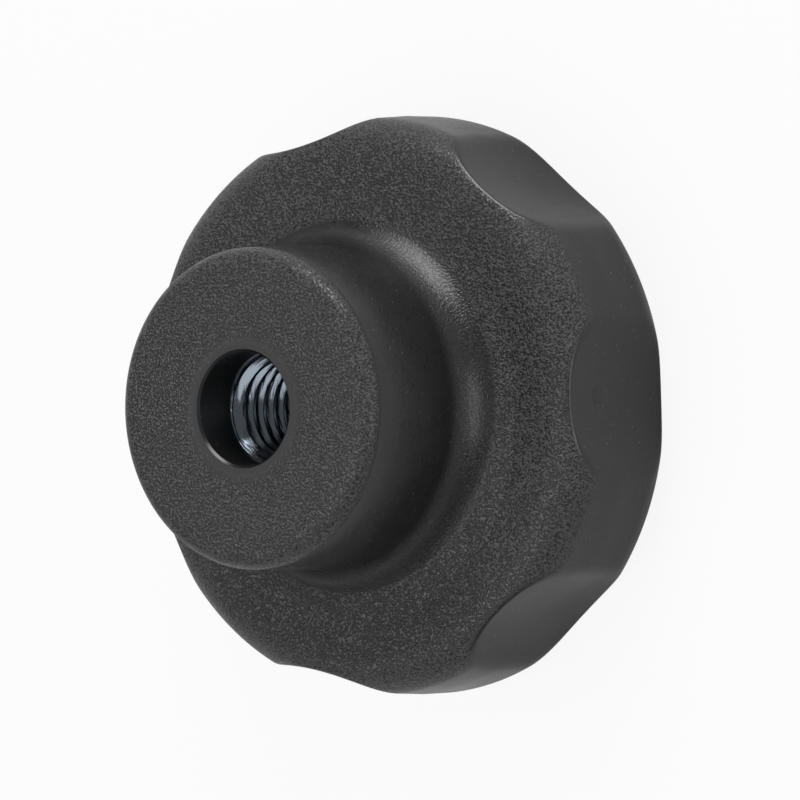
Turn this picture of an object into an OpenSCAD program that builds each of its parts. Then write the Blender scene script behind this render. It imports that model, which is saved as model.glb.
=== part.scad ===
// Fluted star knob nut: a moulded grip with a round boss, and a steel threaded insert
// set into it. The crown rests at Z = 0, and +Z runs along the thread, out of the boss.
// All sizes are in millimetres.

/* [Grip head] */
// Diameter across the lobes
head_d = 63; // [58:0.5:68]
// Crown to the shoulder face the boss stands on
head_h = 17.6; // [16:0.1:20]
// Number of finger flutes round the rim
flute_count = 7; // [5:1:9]
// Radius of each flute's hollow
flute_r = 29.8; // [20:0.1:34]
// Depth of a flute below the lobes
flute_depth = 2.2; // [1:0.1:3]
// Radius of the rim's round at the shoulder face
rim_round = 4.4; // [2:0.1:5]
// Radius of the rim's round at the crown
crown_round = 4.8; // [3:0.1:6]
// Height of the mould's parting line, where the rim is widest, above the crown
parting_z = 9.4; // [8:0.1:10]
// Draft of the rim from the parting line to the shoulder, in degrees
shoulder_draft = 2.4; // [0.5:0.1:4]
// Draft of the rim from the parting line to the crown, in degrees
crown_draft = 0.9; // [0.5:0.1:2]

/* [Boss] */
// Diameter of the boss at its end face
boss_d = 34.8; // [32:0.1:38]
// Length of the boss from the shoulder face
boss_h = 19.1; // [14:0.1:24]
// Draft of the boss's side, in degrees
boss_draft = 1; // [0:0.1:2]
// Radius of the round on the boss's end
boss_round = 2; // [0.5:0.1:3]
// Radius of the fillet at the boss's root
root_fillet = 5.7; // [2:0.1:6]

/* [Bore] */
// Diameter of the plastic bore in front of the insert
bore_d = 12.4; // [12.3:0.1:14]
// Depth of the insert's end face below the boss's end
insert_recess = 5.4; // [2:0.1:8]
// Chamfer at the mouth of the plastic bore
bore_chamfer = 0.25; // [0.1:0.05:0.5]

/* [Threaded insert] */
// Width of the insert's hexagon across its flats
insert_af = 17; // [15:0.5:20]
// Length of the insert
insert_h = 20; // [19.5:0.5:24]
// Chamfer on the insert's hexagon corners, measured along its axis
hex_chamfer = 0.8; // [0.4:0.1:1.2]
// Diameter of the insert's waist, which the moulding grips
waist_d = 15; // [14:0.1:15.4]
// Length of the insert's waist
waist_h = 5; // [3:0.5:8]
// Crest diameter of the internal thread
thread_minor_d = 10.1; // [9.8:0.05:10.6]
// Diameter of the countersink at the thread's mouth
sink_d = 12.2; // [11.8:0.05:12.2]
// Depth of the thread below the insert's end face
thread_h = 16; // [12:0.5:16]
// Point angle of the blind hole's drilled end, in degrees
drill_angle = 118; // [112:1:140]

/* [Hidden] */
$fn = 96;
total_h = head_h + boss_h;
head_r = head_d / 2;
boss_r = boss_d / 2;
flute_centre = head_r - flute_depth + flute_r;
// how far a cutting solid runs past the face it cuts
over = 1;
// how far each round stands proud of the flats it blends, so that they cross cleanly
proud = 0.002;

// rim profile: the drafted sides, and the centres of the rounds tangent to them
rim_z = head_h - rim_round;
rim_x = head_r - (rim_z - parting_z) * tan(shoulder_draft) - rim_round / cos(shoulder_draft);
crown_x = head_r - (parting_z - crown_round) * tan(crown_draft) - crown_round / cos(crown_draft);

// boss profile: the drafted side, and the centres of its round and root fillet
function side_r(z) = boss_r + (total_h - z) * tan(boss_draft);
end_z = total_h - boss_round;
end_x = side_r(end_z) - boss_round / cos(boss_draft);
root_z = head_h + root_fillet;
root_x = side_r(root_z) + root_fillet / cos(boss_draft);

// insert
insert_top = total_h - insert_recess;
insert_bottom = insert_top - insert_h;
hex_r = insert_af / 2 / cos(30);
turned_r = hex_r + over;
turned_h = hex_chamfer + over / 2;
waist_bottom = (insert_top + insert_bottom - waist_h) / 2;
waist_top = waist_bottom + waist_h;
sink_h = (sink_d - thread_minor_d) / 2;
drill_h = thread_minor_d / 2 / tan(drill_angle / 2);

// A point at a distance and angle from a centre
function polar(x, z, r, a) = [x + r * cos(a), z + r * sin(a)];

// Half section of the head: a chord across each corner, then the round's own circle
module head_section() {
    union() {
        polygon([
            [0, proud],
            [crown_x, proud],
            polar(crown_x, crown_round, crown_round - proud, -crown_draft),
            [head_r - proud, parting_z],
            polar(rim_x, rim_z, rim_round - proud, shoulder_draft),
            [rim_x, head_h - proud],
            [0, head_h - proud]
        ]);
        translate([crown_x, crown_round]) circle(r = crown_round);
        translate([rim_x, rim_z]) circle(r = rim_round);
    }
}

// Half section of the boss, with the round on its end and the fillet at its root
module boss_section() {
    difference() {
        union() {
            polygon([
                [0, head_h - over],
                [root_x, head_h - over],
                [root_x, head_h - proud],
                polar(root_x, root_z, root_fillet + proud, 180 + boss_draft),
                polar(end_x, end_z, boss_round - proud, boss_draft),
                [end_x, total_h - proud],
                [0, total_h - proud]
            ]);
            translate([end_x, end_z]) circle(r = boss_round);
        }
        translate([root_x, root_z]) circle(r = root_fillet + 2 * proud);
    }
}

// The hollows that leave the lobes standing round the rim
module flutes() {
    for (i = [0 : flute_count - 1])
        rotate([0, 0, i * 360 / flute_count])
            translate([flute_centre, 0, -over])
                cylinder(r = flute_r, h = head_h + 2 * over);
}

// Half section of the insert's turned outside: a chamfer at each end, and the waist
module insert_turned_section() {
    polygon([
        [0, insert_bottom],
        [hex_r - 2 * hex_chamfer, insert_bottom],
        [turned_r, insert_bottom + turned_h],
        [turned_r, waist_bottom],
        [waist_d / 2, waist_bottom],
        [waist_d / 2, waist_top],
        [turned_r, waist_top],
        [turned_r, insert_top - turned_h],
        [hex_r - 2 * hex_chamfer, insert_top],
        [0, insert_top]
    ]);
}

// Outside of the insert: hexagon bar, turned to that section
module insert_blank() {
    intersection() {
        translate([0, 0, insert_bottom - over])
            cylinder(r = hex_r, h = insert_h + 2 * over, $fn = 6);
        rotate_extrude() insert_turned_section();
    }
}

// Moulded grip and boss, in one piece, with the bore and the insert's seat
module knob() {
    color("#262626")
        difference() {
            union() {
                difference() {
                    rotate_extrude() head_section();
                    flutes();
                }
                rotate_extrude() boss_section();
            }
            insert_blank();
            translate([0, 0, insert_top - over])
                cylinder(d = bore_d, h = insert_recess + 2 * over);
            translate([0, 0, total_h - bore_chamfer])
                cylinder(
                    d1 = bore_d,
                    d2 = bore_d + 2 * (bore_chamfer + over),
                    h = bore_chamfer + over
                );
        }
}

// Half section of the blind thread bore: countersink, crest diameter and drilled point
module thread_bore_section() {
    polygon([
        [0, insert_top - thread_h - drill_h],
        [thread_minor_d / 2, insert_top - thread_h],
        [thread_minor_d / 2, insert_top - sink_h],
        [sink_d / 2 + over, insert_top + over],
        [0, insert_top + over]
    ]);
}

// Zinc-plated steel insert, with its thread drawn as a plain bore at the crests
module insert() {
    color("#b9bdc2")
        difference() {
            insert_blank();
            rotate_extrude() thread_bore_section();
        }
}

knob();
insert();
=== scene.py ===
"""Star knob nut: the visual model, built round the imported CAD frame.

A moulded grip of black glass-filled polyamide with seven finger flutes, a round boss and
the trimmed stub of its gate, and a zinc-plated steel insert with an M12 x 1.75 thread.
Sizes are written in millimetres and turned to metres when a mesh is finished. The crown
rests on Z = 0 and +Z runs along the thread, out of the boss.
"""

import logging
import math
from collections.abc import Iterable, Sequence
from dataclasses import dataclass
from enum import Enum

import bmesh
import bpy
from mathutils import Matrix, Vector

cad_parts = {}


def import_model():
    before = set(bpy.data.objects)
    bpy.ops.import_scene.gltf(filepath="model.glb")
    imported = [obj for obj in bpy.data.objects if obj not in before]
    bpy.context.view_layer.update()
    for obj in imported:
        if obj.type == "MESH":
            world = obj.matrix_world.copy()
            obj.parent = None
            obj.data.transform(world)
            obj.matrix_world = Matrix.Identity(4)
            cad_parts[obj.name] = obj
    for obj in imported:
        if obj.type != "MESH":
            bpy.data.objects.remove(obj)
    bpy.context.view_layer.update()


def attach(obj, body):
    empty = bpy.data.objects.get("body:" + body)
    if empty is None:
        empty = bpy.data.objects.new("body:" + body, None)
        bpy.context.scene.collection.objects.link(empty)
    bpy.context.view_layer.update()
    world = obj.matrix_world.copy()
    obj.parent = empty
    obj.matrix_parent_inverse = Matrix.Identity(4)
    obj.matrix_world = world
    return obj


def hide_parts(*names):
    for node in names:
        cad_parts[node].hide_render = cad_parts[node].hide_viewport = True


LOG = logging.getLogger("star_knob_nut")

MM = 0.001
BODY = "root"

# points closer than this are one point, and points this near a plane lie in it
MERGE_MM = 1e-4
LEVEL_MM = 1e-3

# edges that turn by less than this are shaded smooth, and every bevel is a true round
SHARP_DEG = 32.0
ROUND_PROFILE = 0.5

# the sRGB transfer curve
SRGB_KNEE = 0.04045
SRGB_SLOPE = 12.92
SRGB_OFFSET = 0.055
SRGB_GAMMA = 2.4
WHITE = (1.0, 1.0, 1.0, 1.0)

# the sockets that a Mix node uses for colours
MIX_FACTOR = 0
MIX_A = 6
MIX_B = 7
MIX_OUT = 2


class Zone(Enum):
    """Names of the point attributes that the finishes read."""

    GRAIN = "spark_grain"


class Rounding(Enum):
    """What a bevel rounds."""

    CORNERS = "VERTICES"
    EDGES = "EDGES"


@dataclass(frozen=True)
class Corner:
    """A corner of a half section, at radius r and height z, with an optional round."""

    r: float
    z: float
    round_r: float = 0.0
    steps: int = 1


# --------------------------------------------------------------------------------------
# Mesh helpers
# --------------------------------------------------------------------------------------


def smoothstep(low: float, high: float, value: float) -> float:
    """Rises from 0 at low to 1 at high with flat ends."""
    t = min(max((value - low) / (high - low), 0.0), 1.0)
    return t * t * (3.0 - 2.0 * t)


def smooth_min(a: float, b: float, width: float) -> float:
    """The smaller of two lengths, blended where they differ by less than width."""
    share = max(width - abs(a - b), 0.0) / width
    return min(a, b) - share * share * width / 4.0


def round_off(
    bm: bmesh.types.BMesh,
    geom: list[bmesh.types.BMVert] | list[bmesh.types.BMEdge],
    offset: float,
    steps: int,
    what: Rounding,
) -> None:
    """Rounds corners or edges.

    Args:
        bm: The mesh that they are in.
        geom: The corners or edges.
        offset: How far back the round starts.
        steps: Number of segments in the round.
        what: Whether corners or edges are rounded.
    """
    bmesh.ops.bevel(
        bm,
        geom=geom,
        offset=offset,
        offset_type="OFFSET",
        segments=steps,
        profile=ROUND_PROFILE,
        affect=what.value,
        material=-1,
    )


def draw_section(bm: bmesh.types.BMesh, corners: Sequence[Corner]) -> None:
    """Draws a half section as a chain of edges in the XZ plane and rounds its corners.

    Args:
        bm: The mesh that the chain is drawn in.
        corners: The section's corners, from one end of the chain to the other.
    """
    verts = [bm.verts.new((c.r, 0.0, c.z)) for c in corners]
    for a, b in zip(verts, verts[1:]):
        bm.edges.new((a, b))
    turns = []
    for i in range(1, len(corners) - 1):
        if corners[i].round_r:
            into = verts[i].co - verts[i - 1].co
            out = verts[i + 1].co - verts[i].co
            offset = corners[i].round_r * math.tan(into.angle(out) / 2.0)
            turns.append((verts[i], offset, corners[i].steps))
    for vert, offset, steps in turns:
        round_off(bm, [vert], offset, steps, Rounding.CORNERS)


def spin_round(bm: bmesh.types.BMesh, steps: int, rise: float = 0.0) -> None:
    """Spins everything in the mesh one full turn round Z.

    Args:
        bm: The mesh, which holds a section.
        steps: Number of steps in the turn.
        rise: How far the turn climbs. The ends of a climbing turn stay open.
    """
    bmesh.ops.spin(
        bm,
        geom=bm.verts[:] + bm.edges[:],
        cent=(0.0, 0.0, 0.0),
        axis=(0.0, 0.0, 1.0),
        dvec=(0.0, 0.0, rise / steps),
        angle=math.tau,
        steps=steps,
        use_merge=rise == 0.0,
        use_duplicate=False,
    )


def merge_points(bm: bmesh.types.BMesh) -> None:
    """Merges the points that lie on each other, which closes seams and poles."""
    bmesh.ops.remove_doubles(bm, verts=bm.verts[:], dist=MERGE_MM)


def cut_off(bm: bmesh.types.BMesh, at: Vector, outward: Vector) -> list[bmesh.types.BMEdge]:
    """Cuts away what lies outside a plane, and leaves the cut open.

    Args:
        bm: The mesh to cut.
        at: A point in the plane.
        outward: The plane's normal, which points at what goes.

    Returns:
        The edges along the cut.
    """
    cut = bmesh.ops.bisect_plane(
        bm,
        geom=bm.verts[:] + bm.edges[:] + bm.faces[:],
        dist=MERGE_MM,
        plane_co=at,
        plane_no=outward,
        clear_outer=True,
    )
    return [e for e in cut["geom_cut"] if isinstance(e, bmesh.types.BMEdge)]


def cut_flats(bm: bmesh.types.BMesh, across: float, count: int) -> None:
    """Cuts flats round a turned shape and closes each cut.

    Args:
        bm: The mesh to cut.
        across: Width across opposite flats.
        count: Number of flats.
    """
    for i in range(count):
        turn = math.tau * (i + 0.5) / count
        outward = Vector((math.cos(turn), math.sin(turn), 0.0))
        rim = cut_off(bm, outward * across / 2.0, outward)
        bmesh.ops.holes_fill(bm, edges=rim, sides=0)


def open_loops(bm: bmesh.types.BMesh, height: float) -> list[bmesh.types.BMEdge]:
    """Finds the open edges that lie in the plane at one height.

    Args:
        bm: The mesh.
        height: The plane's height.

    Returns:
        The open edges.
    """
    return [
        e
        for e in bm.edges
        if e.is_boundary and all(abs(v.co.z - height) < LEVEL_MM for v in e.verts)
    ]


def move_to_radius(vert: bmesh.types.BMVert, radius: float) -> None:
    """Moves a point straight out from the axis, or in towards it.

    Args:
        vert: The point, which doesn't lie on the axis.
        radius: Its new distance from the axis.
    """
    share = radius / math.hypot(vert.co.x, vert.co.y)
    vert.co.x *= share
    vert.co.y *= share


def join_mesh(bm: bmesh.types.BMesh, extra: bmesh.types.BMesh) -> None:
    """Adds one mesh to another.

    Args:
        bm: The mesh that is added to.
        extra: The mesh that goes into it, which is freed.
    """
    spare = bpy.data.meshes.new("spare")
    extra.to_mesh(spare)
    extra.free()
    bm.from_mesh(spare)
    bpy.data.meshes.remove(spare)


def add_object(name: str, data: bpy.types.ID) -> bpy.types.Object:
    """Puts an object with this data in the scene.

    Args:
        name: The object's name.
        data: Its mesh, lamp or camera data.

    Returns:
        The object, at the origin.
    """
    item = bpy.data.objects.new(name, data)
    bpy.context.scene.collection.objects.link(item)
    return item


def add_mesh_object(
    bm: bmesh.types.BMesh, name: str, material: bpy.types.Material
) -> bpy.types.Object:
    """Turns a mesh in millimetres into an object in metres, with smooth faces.

    Args:
        bm: The mesh, which is freed.
        name: The object's name.
        material: The finish it is given.

    Returns:
        The object, at the origin, with its place in its mesh.
    """
    for face in bm.faces:
        face.smooth = True
    bmesh.ops.scale(bm, vec=(MM, MM, MM), verts=bm.verts[:])
    mesh = bpy.data.meshes.new(name)
    bm.to_mesh(mesh)
    bm.free()
    mesh.materials.append(material)
    return add_object(name, mesh)


def finish_piece(
    bm: bmesh.types.BMesh,
    name: str,
    material: bpy.types.Material,
    replaces: Iterable[str] = (),
) -> bpy.types.Object:
    """Turns a mesh in millimetres into a finished piece that rides on the body.

    Args:
        bm: The mesh, which is freed.
        name: The piece's name.
        material: The finish it is given.
        replaces: CAD nodes that it stands for.

    Returns:
        The piece's object, at the origin, with its place in its mesh.
    """
    bmesh.ops.recalc_face_normals(bm, faces=bm.faces[:])
    for edge in bm.edges:
        edge.smooth = edge.calc_face_angle(0.0) < math.radians(SHARP_DEG)
    piece = add_mesh_object(bm, name, material)
    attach(piece, BODY)
    if replaces:
        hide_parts(*replaces)
    return piece


# --------------------------------------------------------------------------------------
# Finishes
# --------------------------------------------------------------------------------------


def linear(code: str) -> tuple[float, float, float, float]:
    """Turns an sRGB hex colour into linear RGBA.

    Args:
        code: The colour, such as "#78818a".

    Returns:
        Its linear levels, with an alpha of 1.
    """
    levels = [int(code[i : i + 2], 16) / 255.0 for i in (1, 3, 5)]
    r, g, b = (
        c / SRGB_SLOPE
        if c <= SRGB_KNEE
        else ((c + SRGB_OFFSET) / (1.0 + SRGB_OFFSET)) ** SRGB_GAMMA
        for c in levels
    )
    return (r, g, b, 1.0)


def add_node(
    tree: bpy.types.NodeTree,
    kind: str,
    inputs: dict[str | int, object] | None = None,
    **settings: object,
) -> bpy.types.Node:
    """Adds a node with its settings, and sets or links its inputs.

    Args:
        tree: The node tree that it goes in.
        kind: The node's type name, such as "ShaderNodeBump".
        inputs: For each input, by name or number, a value or a socket to link.
        **settings: The node's own properties.

    Returns:
        The new node.
    """
    node = tree.nodes.new(kind)
    for key, value in settings.items():
        setattr(node, key, value)
    for key, value in (inputs or {}).items():
        if isinstance(value, bpy.types.NodeSocket):
            tree.links.new(value, node.inputs[key])
        else:
            node.inputs[key].default_value = value
    return node


def new_material(name: str) -> tuple[bpy.types.Material, bpy.types.NodeTree]:
    """Makes an empty node material.

    Args:
        name: The material's name.

    Returns:
        The material and its node tree.
    """
    material = bpy.data.materials.new(name)
    material.use_nodes = True
    material.node_tree.nodes.clear()
    return material, material.node_tree


@dataclass(frozen=True)
class MouldedPolyamide:
    """Black glass-filled polyamide 6, injection moulded in a spark-eroded steel mould.

    A noise's layers are how many finer copies of itself it holds, and its fineness is
    how much they count. A level is a height of the noise, from 0 to 1.
    """

    colour: str = "#171717"
    # the pits' colour is painted shade, and the ridges' colour is a painted highlight
    pit_shade_colour: str = "#0e0e0e"
    ridge_highlight_colour: str = "#484848"
    fleck_colour: str = "#5a5a5a"
    roughness: float = 0.27
    grain_roughness: float = 0.36
    ior: float = 1.53
    grain_mm: float = 0.24
    grain_depth_mm: float = 0.14
    grain_layers: float = 1.0
    grain_fineness: float = 0.45
    grain_twist: float = 0.4
    pit_level: float = 0.36
    ridge_level: float = 0.64
    satin_mm: float = 0.9
    satin_depth_mm: float = 0.004
    satin_layers: float = 4.0
    satin_fineness: float = 0.6
    fleck_mm: float = 1.1
    fleck_size: float = 0.07
    bloom_mm: float = 7.0
    bloom_layers: float = 3.0
    bloom_low_level: float = 0.35
    bloom_high_level: float = 0.65
    bloom: float = 0.05

    def grain(
        self, tree: bpy.types.NodeTree, place: bpy.types.NodeSocket
    ) -> bpy.types.NodeSocket:
        """Draws the grain that the mould's spark erosion leaves.

        Args:
            tree: The material's node tree.
            place: The point on the object.

        Returns:
            A height from 0 in the pits to 1 on the ridges.
        """
        # leathery pits and ridges, about a quarter of a millimetre wide
        noise = add_node(
            tree,
            "ShaderNodeTexNoise",
            {
                "Vector": place,
                "Scale": 1.0 / (self.grain_mm * MM),
                "Detail": self.grain_layers,
                "Roughness": self.grain_fineness,
                "Distortion": self.grain_twist,
            },
        )
        height = add_node(
            tree,
            "ShaderNodeMapRange",
            {
                "Value": noise.outputs["Fac"],
                "From Min": self.pit_level,
                "From Max": self.ridge_level,
            },
            interpolation_type="SMOOTHSTEP",
        )
        return height.outputs["Result"]

    def relief(
        self,
        tree: bpy.types.NodeTree,
        place: bpy.types.NodeSocket,
        grain: bpy.types.NodeSocket,
        zone: bpy.types.NodeSocket,
    ) -> bpy.types.NodeSocket:
        """Turns the grain, and the satin of the polished sides, into relief.

        Args:
            tree: The material's node tree.
            place: The point on the object.
            grain: The grain's height.
            zone: How strongly the grain shows there.

        Returns:
            The surface's normal.
        """
        # polished faces still wave by a few thousandths of a millimetre
        satin = add_node(
            tree,
            "ShaderNodeTexNoise",
            {
                "Vector": place,
                "Scale": 1.0 / (self.satin_mm * MM),
                "Detail": self.satin_layers,
                "Roughness": self.satin_fineness,
            },
        )
        satin_bump = add_node(
            tree,
            "ShaderNodeBump",
            {
                "Height": satin.outputs["Fac"],
                "Distance": self.satin_depth_mm * MM,
                "Strength": 1.0,
            },
        )
        masked = add_node(tree, "ShaderNodeMath", {0: grain, 1: zone}, operation="MULTIPLY")
        bump = add_node(
            tree,
            "ShaderNodeBump",
            {
                "Height": masked.outputs[0],
                "Normal": satin_bump.outputs[0],
                "Distance": self.grain_depth_mm * MM,
                "Strength": 1.0,
            },
        )
        return bump.outputs[0]

    def tone(
        self,
        tree: bpy.types.NodeTree,
        place: bpy.types.NodeSocket,
        grain: bpy.types.NodeSocket,
        zone: bpy.types.NodeSocket,
    ) -> bpy.types.NodeSocket:
        """Colours the plastic and its specks, and paints highlights on the grain's ridges and
        shade in its pits.

        Args:
            tree: The material's node tree.
            place: The point on the object.
            grain: The grain's height.
            zone: How strongly the grain shows there.

        Returns:
            The surface's colour.
        """
        # the grain's ridges get a painted highlight in grey and its pits get painted shade in
        # deeper black
        painted_grain_light = add_node(
            tree,
            "ShaderNodeMix",
            {
                MIX_FACTOR: grain,
                MIX_A: linear(self.pit_shade_colour),
                MIX_B: linear(self.ridge_highlight_colour),
            },
            data_type="RGBA",
        )
        colour = add_node(
            tree,
            "ShaderNodeMix",
            {MIX_FACTOR: zone, MIX_A: linear(self.colour), MIX_B: painted_grain_light.outputs[MIX_OUT]},
            data_type="RGBA",
        )
        # specks of dust and glass lie about a millimetre apart
        cells = add_node(
            tree,
            "ShaderNodeTexVoronoi",
            {"Vector": place, "Scale": 1.0 / (self.fleck_mm * MM)},
        )
        flecks = add_node(
            tree,
            "ShaderNodeMath",
            {0: cells.outputs["Distance"], 1: self.fleck_size},
            operation="LESS_THAN",
        )
        flecked = add_node(
            tree,
            "ShaderNodeMix",
            {
                MIX_FACTOR: flecks.outputs[0],
                MIX_A: colour.outputs[MIX_OUT],
                MIX_B: linear(self.fleck_colour),
            },
            data_type="RGBA",
        )
        return flecked.outputs[MIX_OUT]

    def gloss(
        self,
        tree: bpy.types.NodeTree,
        place: bpy.types.NodeSocket,
        zone: bpy.types.NodeSocket,
    ) -> bpy.types.NodeSocket:
        """Sets how rough the plastic is between its polished and its eroded faces.

        Args:
            tree: The material's node tree.
            place: The point on the object.
            zone: How strongly the grain shows there.

        Returns:
            The surface's roughness.
        """
        rough = add_node(
            tree,
            "ShaderNodeMapRange",
            {"Value": zone, "To Min": self.roughness, "To Max": self.grain_roughness},
        )
        # handling leaves the plastic a little duller or brighter in patches
        patches = add_node(
            tree,
            "ShaderNodeTexNoise",
            {
                "Vector": place,
                "Scale": 1.0 / (self.bloom_mm * MM),
                "Detail": self.bloom_layers,
            },
        )
        bloom = add_node(
            tree,
            "ShaderNodeMapRange",
            {
                "Value": patches.outputs["Fac"],
                "From Min": self.bloom_low_level,
                "From Max": self.bloom_high_level,
                "To Min": -self.bloom,
                "To Max": self.bloom,
            },
        )
        dulled = add_node(
            tree,
            "ShaderNodeMath",
            {0: rough.outputs["Result"], 1: bloom.outputs["Result"]},
            operation="ADD",
        )
        return dulled.outputs[0]

    def build(self) -> bpy.types.Material:
        """Builds the material.

        Returns:
            A black plastic that is leathery where the mould was spark eroded, and satin
            on its sides.
        """
        material, tree = new_material("black_moulded_polyamide")
        place = add_node(tree, "ShaderNodeTexCoord").outputs["Object"]
        zone = add_node(
            tree, "ShaderNodeAttribute", attribute_name=Zone.GRAIN.value
        ).outputs["Fac"]
        grain = self.grain(tree, place)
        shader = add_node(
            tree,
            "ShaderNodeBsdfPrincipled",
            {
                "Base Color": self.tone(tree, place, grain, zone),
                "Roughness": self.gloss(tree, place, zone),
                "IOR": self.ior,
                "Normal": self.relief(tree, place, grain, zone),
            },
        )
        add_node(tree, "ShaderNodeOutputMaterial", {"Surface": shader.outputs[0]})
        return material


@dataclass(frozen=True)
class ZincPlate:
    """Steel, turned and tapped, with a bright bluish zinc plate."""

    colour: str = "#78818a"
    roughness: float = 0.13
    cut_mm: float = 0.28
    cut_depth_mm: float = 0.05
    cut_stretch: float = 0.06
    cut_layers: float = 3.0
    cut_fineness: float = 0.6

    def build(self) -> bpy.types.Material:
        """Builds the material.

        Returns:
            A bright metal with the tools' marks round it.
        """
        material, tree = new_material("zinc_plated_steel")
        place = add_node(tree, "ShaderNodeTexCoord").outputs["Object"]
        # turning and tapping leave rings, about a quarter of a millimetre apart and finer
        rings = add_node(
            tree,
            "ShaderNodeVectorMath",
            {0: place, 1: (self.cut_stretch, self.cut_stretch, 1.0)},
            operation="MULTIPLY",
        )
        marks = add_node(
            tree,
            "ShaderNodeTexNoise",
            {
                "Vector": rings.outputs[0],
                "Scale": 1.0 / (self.cut_mm * MM),
                "Detail": self.cut_layers,
                "Roughness": self.cut_fineness,
            },
        )
        bump = add_node(
            tree,
            "ShaderNodeBump",
            {
                "Height": marks.outputs["Fac"],
                "Distance": self.cut_depth_mm * MM,
                "Strength": 1.0,
            },
        )
        shader = add_node(
            tree,
            "ShaderNodeBsdfPrincipled",
            {
                "Base Color": linear(self.colour),
                "Metallic": 1.0,
                "Roughness": self.roughness,
                "Normal": bump.outputs[0],
            },
        )
        add_node(tree, "ShaderNodeOutputMaterial", {"Surface": shader.outputs[0]})
        return material


@dataclass(frozen=True)
class StudioPaper:
    """White seamless paper, which goes white behind the object but keeps its shadow."""

    colour: str = "#e2e2e2"
    lift: float = 0.9

    def build(self) -> bpy.types.Material:
        """Builds the material.

        Returns:
            Matt paper, lifted towards white for what looks straight at it. Reflections
            see the paper as it is lit.
        """
        material, tree = new_material("white_studio_paper")
        path = add_node(tree, "ShaderNodeLightPath")
        share = add_node(
            tree,
            "ShaderNodeMath",
            {0: path.outputs["Is Camera Ray"], 1: self.lift},
            operation="MULTIPLY",
        )
        paper = add_node(tree, "ShaderNodeBsdfDiffuse", {"Color": linear(self.colour)})
        glow = add_node(tree, "ShaderNodeEmission", {"Color": WHITE, "Strength": 1.0})
        mix = add_node(
            tree,
            "ShaderNodeMixShader",
            {0: share.outputs[0], 1: paper.outputs[0], 2: glow.outputs[0]},
        )
        add_node(tree, "ShaderNodeOutputMaterial", {"Surface": mix.outputs[0]})
        return material


# --------------------------------------------------------------------------------------
# The threaded insert
# --------------------------------------------------------------------------------------


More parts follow.
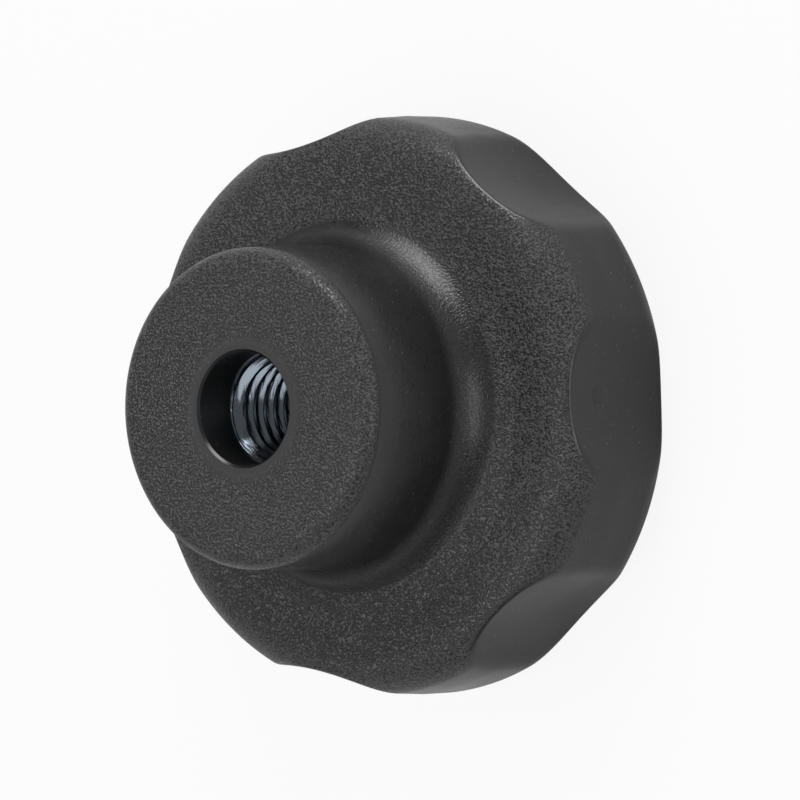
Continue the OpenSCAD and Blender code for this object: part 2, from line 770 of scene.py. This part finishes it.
@dataclass
class ThreadedInsert:
    """Hexagon steel insert with a turned waist and a blind M12 x 1.75 thread."""

    top: float = 31.3
    length: float = 20.0

    # the blank: hexagon bar, with a chamfer at each end that runs in more than it drops
    across_flats: float = 17.0
    flat_count: int = 6
    hex_chamfer: float = 0.8
    chamfer_run: float = 2.0
    waist_d: float = 15.0
    waist_h: float = 5.0
    over: float = 1.0

    # the thread: a crest's flat is a quarter of the pitch, and some spare turns are drawn
    # below the thread's end and cut away
    major_d: float = 12.0
    minor_d: float = 10.1
    pitch: float = 1.75
    crest_share: float = 0.25
    flank_angle: float = 30.0
    crest_round: float = 0.12
    root_round: float = 0.1
    round_steps: int = 3
    thread_h: float = 16.0
    spare_turns: float = 2.0
    turn_steps: int = 144

    # the countersink, the land round it and the drill's point
    sink_d: float = 12.2
    land: float = 0.04
    drill_angle: float = 118.0

    def blank_corners(self, mouth_r: float) -> list[Corner]:
        """The turned section of the blank's outside.

        Args:
            mouth_r: Radius that the top face starts from.

        Returns:
            The section's corners, from the mouth round to the middle of the bottom.
        """
        corner_r = self.across_flats / 2.0 / math.cos(math.pi / self.flat_count)
        turned_r = corner_r + self.over
        turned_h = self.hex_chamfer + self.over / self.chamfer_run
        end_r = corner_r - self.chamfer_run * self.hex_chamfer
        bottom = self.top - self.length
        waist_low = (self.top + bottom - self.waist_h) / 2.0
        waist_high = waist_low + self.waist_h
        waist_r = self.waist_d / 2.0
        return [
            Corner(mouth_r, self.top),
            Corner(end_r, self.top),
            Corner(turned_r, self.top - turned_h),
            Corner(turned_r, waist_high),
            Corner(waist_r, waist_high),
            Corner(waist_r, waist_low),
            Corner(turned_r, waist_low),
            Corner(turned_r, bottom + turned_h),
            Corner(end_r, bottom),
            Corner(0.0, bottom),
        ]

    def draw_blank(self, bm: bmesh.types.BMesh, mouth_r: float, steps: int) -> None:
        """Draws the outside of the blank, open at its mouth.

        Args:
            bm: An empty mesh.
            mouth_r: Radius of the open mouth.
            steps: Number of steps in the turn.
        """
        draw_section(bm, self.blank_corners(mouth_r))
        spin_round(bm, steps)
        merge_points(bm)
        cut_flats(bm, self.across_flats, self.flat_count)

    def thread_corners(self, start: float) -> list[Corner]:
        """One pitch of the thread's section, from the middle of one crest to the next.

        Args:
            start: Height of the first crest's middle.

        Returns:
            The section's corners, upwards.
        """
        minor_r = self.minor_d / 2.0
        major_r = self.major_d / 2.0
        middle_r = minor_r + (major_r - minor_r) / 2.0
        half_crest = self.pitch * self.crest_share / 2.0
        flank = (major_r - minor_r) * math.tan(math.radians(self.flank_angle))
        end = start + self.pitch
        return [
            Corner(minor_r, start),
            Corner(minor_r, start + half_crest, self.crest_round, self.round_steps),
            Corner(middle_r, start + half_crest + flank / 2.0),
            Corner(major_r, start + half_crest + flank, self.root_round, self.round_steps),
            Corner(major_r, end - half_crest - flank, self.root_round, self.round_steps),
            Corner(middle_r, end - half_crest - flank / 2.0),
            Corner(minor_r, end - half_crest, self.crest_round, self.round_steps),
            Corner(minor_r, end),
        ]

    def draw_helix(self, bm: bmesh.types.BMesh, low: float) -> None:
        """Draws the thread as a right-hand helix that reaches past the mouth.

        Args:
            bm: An empty mesh.
            low: Height that it starts from.
        """
        draw_section(bm, self.thread_corners(low))
        spin_round(bm, self.turn_steps, self.pitch)
        one_turn = bm.verts[:] + bm.edges[:] + bm.faces[:]
        turns = math.ceil((self.top + self.pitch - low) / self.pitch)
        for i in range(1, turns):
            copy = bmesh.ops.duplicate(bm, geom=one_turn)["geom"]
            lift = [v for v in copy if isinstance(v, bmesh.types.BMVert)]
            bmesh.ops.translate(bm, verts=lift, vec=(0.0, 0.0, i * self.pitch))
        merge_points(bm)

    def draw_thread(self, bm: bmesh.types.BMesh) -> None:
        """Draws the threaded wall of the bore.

        The wall opens into the countersink at the top, runs out at the bottom and is
        closed by the drill's point.

        Args:
            bm: An empty mesh.
        """
        minor_r = self.minor_d / 2.0
        bottom = self.top - self.thread_h
        self.draw_helix(bm, bottom - self.spare_turns * self.pitch)
        sink_start = self.top - (self.sink_d - self.minor_d) / 2.0
        for vert in bm.verts:
            r = math.hypot(vert.co.x, vert.co.y)
            fade = smoothstep(bottom, bottom + self.pitch, vert.co.z)
            wall = minor_r + (r - minor_r) * fade
            move_to_radius(vert, max(wall, minor_r + vert.co.z - sink_start))
        for height, side in ((self.top, 1.0), (bottom, -1.0)):
            cut_off(bm, Vector((0.0, 0.0, height)), Vector((0.0, 0.0, side)))
        point = bottom - minor_r / math.tan(math.radians(self.drill_angle / 2.0))
        drill = bmesh.ops.extrude_edge_only(bm, edges=open_loops(bm, bottom))
        tip = [v for v in drill["geom"] if isinstance(v, bmesh.types.BMVert)]
        bmesh.ops.pointmerge(bm, verts=tip, merge_co=(0.0, 0.0, point))

    def build(self, finish: bpy.types.Material) -> bpy.types.Object:
        """Builds the insert as one closed mesh.

        Args:
            finish: The plated steel.

        Returns:
            The finished insert, in place of its CAD node.
        """
        bm = bmesh.new()
        self.draw_blank(bm, self.sink_d / 2.0 + self.land, self.turn_steps)
        wall = bmesh.new()
        self.draw_thread(wall)
        join_mesh(bm, wall)
        bmesh.ops.bridge_loops(bm, edges=open_loops(bm, self.top))
        return finish_piece(bm, "threaded_insert", finish, ["insert"])


# --------------------------------------------------------------------------------------
# The moulded grip
# --------------------------------------------------------------------------------------


@dataclass
class MouldedGrip:
    """Fluted head and round boss, moulded in one piece round the insert."""

    insert: ThreadedInsert

    # the head and its flutes
    head_d: float = 63.0
    head_h: float = 17.6
    flute_count: int = 7
    flute_r: float = 29.8
    flute_depth: float = 2.2
    rim_round: float = 4.4
    crown_round: float = 4.8
    parting_z: float = 9.4
    shoulder_draft: float = 2.4
    crown_draft: float = 0.9

    # the boss and its bore
    boss_d: float = 34.8
    boss_h: float = 19.1
    boss_draft: float = 1.0
    boss_round: float = 2.0
    root_fillet: float = 5.7
    bore_d: float = 12.4
    bore_chamfer: float = 0.25

    # flutes meet lobes in a soft blend on the sides and in a tight one on the rounds,
    # fully tight from rim_share of the way up the rim's round and below crown_tight_z
    lobe_blend: float = 0.6
    edge_blend: float = 0.24
    rim_share: float = 0.7
    crown_tight_z: float = 0.9

    # the grain starts outside a plain ring round the bore, fades at the crease and the
    # edges, and thins out up the root fillet to what is left of it on the boss's wall
    plain_ring_r: float = 8.1
    ring_inside: float = 1.2
    ring_outside: float = 0.9
    edge_share: float = 0.6
    crease_band: float = 0.8
    rim_band: float = 0.4
    grain_foot_z: float = 18.75
    foot_band: float = 0.7
    fillet_grain: float = 0.14
    fillet_band: float = 2.0
    wall_grain: float = 0.06

    # rows of points: from the parting plane, down the boss and round the plain ring
    rows_below: tuple[float, ...] = (-1.8, -0.6)
    rows_above: tuple[float, ...] = (0.6, 1.8, 2.9)
    boss_row: float = 6.0
    ring_rows: tuple[float, ...] = (0.9, 0.35, -0.2, -0.7, -1.2)
    crown_steps: int = 36
    rim_steps: int = 48
    fillet_steps: int = 28
    boss_steps: int = 16
    spin_steps: int = 392

    @property
    def total_h(self) -> float:
        """Height of the boss's end face."""
        return self.head_h + self.boss_h

    @property
    def flute_floor(self) -> float:
        """Distance of each flute's deepest line from the axis."""
        return self.head_d / 2.0 - self.flute_depth

    @property
    def flute_centre(self) -> float:
        """Distance of each flute's centre from the axis."""
        return self.flute_floor + self.flute_r

    def section(self) -> list[Corner]:
        """The half section of the moulding.

        Returns:
            The section's corners, from the crown's middle to the bore's foot.
        """
        head_r = self.head_d / 2.0
        side = math.tan(math.radians(self.shoulder_draft))
        under = math.tan(math.radians(self.crown_draft))
        lean = math.tan(math.radians(self.boss_draft))
        boss_r = self.boss_d / 2.0
        bore_r = self.bore_d / 2.0
        top = self.total_h
        falls = [self.parting_z + step for step in self.rows_below]
        rises = [self.parting_z + step for step in self.rows_above]
        rim_r = head_r - (self.head_h - self.parting_z) * side
        root_r = boss_r + self.boss_h * lean
        return [
            Corner(0.0, 0.0),
            Corner(head_r - self.parting_z * under, 0.0, self.crown_round, self.crown_steps),
            *[Corner(head_r - (self.parting_z - z) * under, z) for z in falls],
            Corner(head_r, self.parting_z),
            *[Corner(head_r - (z - self.parting_z) * side, z) for z in rises],
            Corner(rim_r, self.head_h, self.rim_round, self.rim_steps),
            Corner(root_r, self.head_h, self.root_fillet, self.fillet_steps),
            Corner(boss_r + self.boss_row * lean, top - self.boss_row),
            Corner(boss_r, top, self.boss_round, self.boss_steps),
            *[Corner(self.plain_ring_r + step, top) for step in self.ring_rows],
            Corner(bore_r + self.bore_chamfer, top),
            Corner(bore_r, top - self.bore_chamfer),
            Corner(bore_r, self.insert.top),
        ]

    def flute_reach(self, turn: float) -> float:
        """How far the moulding reaches from the axis to a flute's wall.

        Args:
            turn: The direction, as an angle from +X.

        Returns:
            The distance in that direction.
        """
        pitch = math.tau / self.flute_count
        turn = (turn + pitch / 2.0) % pitch - pitch / 2.0
        across = self.flute_centre * math.sin(turn)
        return self.flute_centre * math.cos(turn) - math.sqrt(
            self.flute_r**2 - across**2
        )

    def grain_share(self, r: float, z: float, reach: float) -> float:
        """How strongly the mould's spark erosion shows at a point.

        Args:
            r: Distance from the axis, before the flutes are cut.
            z: Height above the crown.
            reach: Distance to the flute's wall in that direction.

        Returns:
            1 on the eroded faces, 0 on the polished ones, and between them at an edge.
        """
        edge_z = self.total_h - self.boss_round
        if z > edge_z:
            inner_r = self.plain_ring_r - self.ring_inside
            face = smoothstep(inner_r, self.plain_ring_r + self.ring_outside, r)
            return face * smoothstep(edge_z, self.total_h - self.edge_share * self.boss_round, z)
        if z > self.head_h:
            eroded = smoothstep(self.grain_foot_z, self.grain_foot_z - self.foot_band, z)
            fillet_z = self.head_h + self.root_fillet
            foot = smoothstep(fillet_z, fillet_z - self.fillet_band, z)
            return max(eroded, self.wall_grain + (self.fillet_grain - self.wall_grain) * foot)
        low = self.head_h - self.rim_round
        rim = smoothstep(low - self.rim_band, low + self.edge_share * self.rim_round, z)
        return rim * smoothstep(0.0, self.crease_band, reach - r)

    def blend_width(self, z: float) -> float:
        """How wide the blend between a flute and a lobe is.

        Args:
            z: Height above the crown.

        Returns:
            Its width, which narrows on the rounds above and below the sides.
        """
        low = self.head_h - self.rim_round
        tight = max(
            smoothstep(low, low + self.rim_share * self.rim_round, z),
            smoothstep(self.crown_round, self.crown_tight_z, z),
        )
        return self.lobe_blend + (self.edge_blend - self.lobe_blend) * tight

    def cut_flutes(self, bm: bmesh.types.BMesh) -> None:
        """Notes where the grain shows and draws the turned head in to its flutes.

        Args:
            bm: The turned moulding.
        """
        grain = bm.verts.layers.float.new(Zone.GRAIN.value)
        for vert in bm.verts:
            r = math.hypot(vert.co.x, vert.co.y)
            reach = self.head_d
            if vert.co.z < self.head_h - MERGE_MM:
                reach = self.flute_reach(math.atan2(vert.co.y, vert.co.x))
            vert[grain] = self.grain_share(r, vert.co.z, reach)
            blend = self.blend_width(vert.co.z)
            if reach < r + blend:
                move_to_radius(vert, smooth_min(r, reach, blend))

    def build(self, finish: bpy.types.Material) -> bpy.types.Object:
        """Builds the grip and its boss as one closed mesh.

        Args:
            finish: The moulded plastic.

        Returns:
            The finished moulding, in place of its CAD node.
        """
        bm = bmesh.new()
        draw_section(bm, self.section())
        spin_round(bm, self.spin_steps)
        merge_points(bm)
        self.cut_flutes(bm)
        seat = bmesh.new()
        self.insert.draw_blank(seat, self.bore_d / 2.0, self.spin_steps)
        join_mesh(bm, seat)
        merge_points(bm)
        return finish_piece(bm, "moulded_grip", finish, ["knob"])


@dataclass
class GateMark:
    """The trimmed stub of the moulding's gate, on the wall of the +X flute."""

    grip: MouldedGrip
    across: float = 0.3
    up: float = 11.7
    pad_d: float = 2.8
    proud: float = 0.14
    depth: float = 0.8
    edge: float = 0.07
    edge_steps: int = 3
    segments: int = 48

    def build(self, finish: bpy.types.Material) -> bpy.types.Object:
        """Builds the stub as a tilted disc, flush at its top and proud at its foot.

        Args:
            finish: The moulded plastic.

        Returns:
            The finished stub.
        """
        bm = bmesh.new()
        tilt = math.asin(self.proud / self.pad_d)
        face_x = self.grip.flute_floor + self.proud / 2.0
        centre = Vector((face_x - self.depth / 2.0, self.across, self.up))
        turn = Matrix.Rotation(math.pi / 2.0 - tilt, 4, "Y")
        bmesh.ops.create_cone(
            bm,
            cap_ends=True,
            cap_tris=False,
            segments=self.segments,
            radius1=self.pad_d / 2.0,
            radius2=self.pad_d / 2.0,
            depth=self.depth,
            matrix=Matrix.Translation(centre) @ turn,
        )
        rim = [e for e in bm.edges if all(end.co.x > centre.x for end in e.verts)]
        round_off(bm, rim, self.edge, self.edge_steps, Rounding.EDGES)
        return finish_piece(bm, "gate_mark", finish)


# --------------------------------------------------------------------------------------
# Studio
# --------------------------------------------------------------------------------------


@dataclass
class Cyclorama:
    """Seamless paper floor with a low turned-up rim, centred under the object."""

    radius: float = 7000.0
    rim_h: float = 2200.0
    sweep: float = 1500.0
    sweep_steps: int = 12
    turn_steps: int = 96

    def build(self, finish: bpy.types.Material) -> bpy.types.Object:
        """Builds the floor.

        Args:
            finish: The paper.

        Returns:
            The floor.
        """
        bm = bmesh.new()
        draw_section(
            bm,
            [
                Corner(0.0, 0.0),
                Corner(self.radius, 0.0, self.sweep, self.sweep_steps),
                Corner(self.radius, self.rim_h),
            ],
        )
        spin_round(bm, self.turn_steps)
        merge_points(bm)
        floor = add_mesh_object(bm, "studio_floor", finish)
        return floor


@dataclass
class ProductCamera:
    """Long-lens camera that looks down on the boss's end face.

    Tilt, swing and roll are in radians. The aim is a point beside the end face's middle.
    """

    tilt: float = 0.670
    swing: float = -0.019
    roll: float = -0.014
    focal_px: float = 23428.0
    distance: float = 2525.6
    aim_z: float = 36.7
    aim_right: float = 16.908
    aim_down: float = 0.928
    frame_px: float = 800.0
    sensor_mm: float = 36.0
    clip_near_m: float = 0.1
    clip_far_m: float = 50.0

    def axes(self) -> tuple[Vector, Vector, Vector]:
        """The camera's directions in the object's frame.

        Returns:
            Its right, down and forward directions.
        """
        ct, st = math.cos(self.tilt), math.sin(self.tilt)
        cs, ss = math.cos(self.swing), math.sin(self.swing)
        cr, sr = math.cos(self.roll), math.sin(self.roll)
        into = Vector((st * cs, st * ss, ct))
        level = Vector((ct * cs, ct * ss, -st))
        cross = into.cross(level)
        x_axis = Vector((cr, sr, 0.0))
        y_axis = Vector((sr, -cr, 0.0))
        z_axis = Vector((0.0, 0.0, -1.0))
        right, down, forward = (
            into[i] * z_axis + level[i] * x_axis + cross[i] * y_axis for i in range(3)
        )
        return right, down, forward

    def build(self) -> bpy.types.Object:
        """Builds the camera and makes it the scene's own.

        Returns:
            The camera.
        """
        right, down, forward = self.axes()
        place = (
            Vector((0.0, 0.0, self.aim_z))
            + right * self.aim_right
            - down * self.aim_down
            - forward * self.distance
        )
        data = bpy.data.cameras.new("product_camera")
        data.sensor_width = self.sensor_mm
        data.lens = self.focal_px * self.sensor_mm / self.frame_px
        data.clip_start = self.clip_near_m
        data.clip_end = self.clip_far_m
        camera = add_object("product_camera", data)
        turn = Matrix((right, -down, -forward)).transposed()
        camera.matrix_world = Matrix.Translation(place * MM) @ turn.to_4x4()
        bpy.context.scene.camera = camera
        return camera


@dataclass(frozen=True)
class SoftBox:
    """A soft rectangular lamp that faces the object.

    Directions and spans are in degrees, as seen from the object, with azimuth measured
    from +X towards +Y. A level of 1 is about as bright as white paper.
    """

    name: str
    azimuth: float
    elevation: float
    wide: float
    high: float
    level: float
    distance_m: float = 1.2

    def build(self) -> bpy.types.Object:
        """Builds the lamp.

        Returns:
            The lamp, which the camera doesn't see.
        """
        data = bpy.data.lights.new(self.name, "AREA")
        data.shape = "RECTANGLE"
        data.size = 2.0 * self.distance_m * math.tan(math.radians(self.wide / 2.0))
        data.size_y = 2.0 * self.distance_m * math.tan(math.radians(self.high / 2.0))
        data.energy = self.level * math.pi * data.size * data.size_y
        lamp = add_object(self.name, data)
        a, e = math.radians(self.azimuth), math.radians(self.elevation)
        out = Vector((math.cos(a) * math.cos(e), math.sin(a) * math.cos(e), math.sin(e)))
        turn = out.to_track_quat("Z", "Y").to_matrix().to_4x4()
        lamp.matrix_world = Matrix.Translation(out * self.distance_m) @ turn
        lamp.visible_camera = False
        return lamp


@dataclass
class Studio:
    """Floor, lamps, soft surroundings and camera."""

    surround: float = 0.25
    lamps: tuple[SoftBox, ...] = (
        SoftBox("overhead_box", azimuth=180.0, elevation=62.0, wide=70.0, high=56.0, level=0.68),
        SoftBox("left_box", azimuth=-102.0, elevation=65.0, wide=58.0, high=46.0, level=1.4),
        SoftBox("side_box", azimuth=82.0, elevation=19.0, wide=34.0, high=30.0, level=7.6),
        SoftBox("fill_box", azimuth=-3.0, elevation=18.0, wide=30.0, high=20.0, level=3.7),
    )

    def build(self) -> None:
        """Builds the studio round the object."""
        scene = bpy.context.scene
        Cyclorama().build(StudioPaper().build())
        world = bpy.data.worlds.new("soft_surroundings")
        world.use_nodes = True
        world.node_tree.nodes.clear()
        sky = add_node(
            world.node_tree,
            "ShaderNodeBackground",
            {"Color": WHITE, "Strength": self.surround},
        )
        add_node(world.node_tree, "ShaderNodeOutputWorld", {"Surface": sky.outputs[0]})
        scene.world = world
        for lamp in self.lamps:
            lamp.build()
        ProductCamera().build()
        scene.view_settings.view_transform = "Standard"


def report(piece: bpy.types.Object) -> None:
    """Reports a finished piece's face count and size."""
    size = ", ".join(f"{d / MM:.2f}" for d in piece.dimensions)
    LOG.info("%s: %d faces, %s mm", piece.name, len(piece.data.polygons), size)


def main() -> None:
    """Builds the insert, the grip round it and the studio, and notes the sizes."""
    logging.basicConfig(level=logging.INFO, format="%(name)s: %(message)s")
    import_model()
    insert = ThreadedInsert()
    report(insert.build(ZincPlate().build()))
    plastic = MouldedPolyamide().build()
    grip = MouldedGrip(insert)
    report(grip.build(plastic))
    report(GateMark(grip).build(plastic))
    Studio().build()


if __name__ == "__main__":
    main()
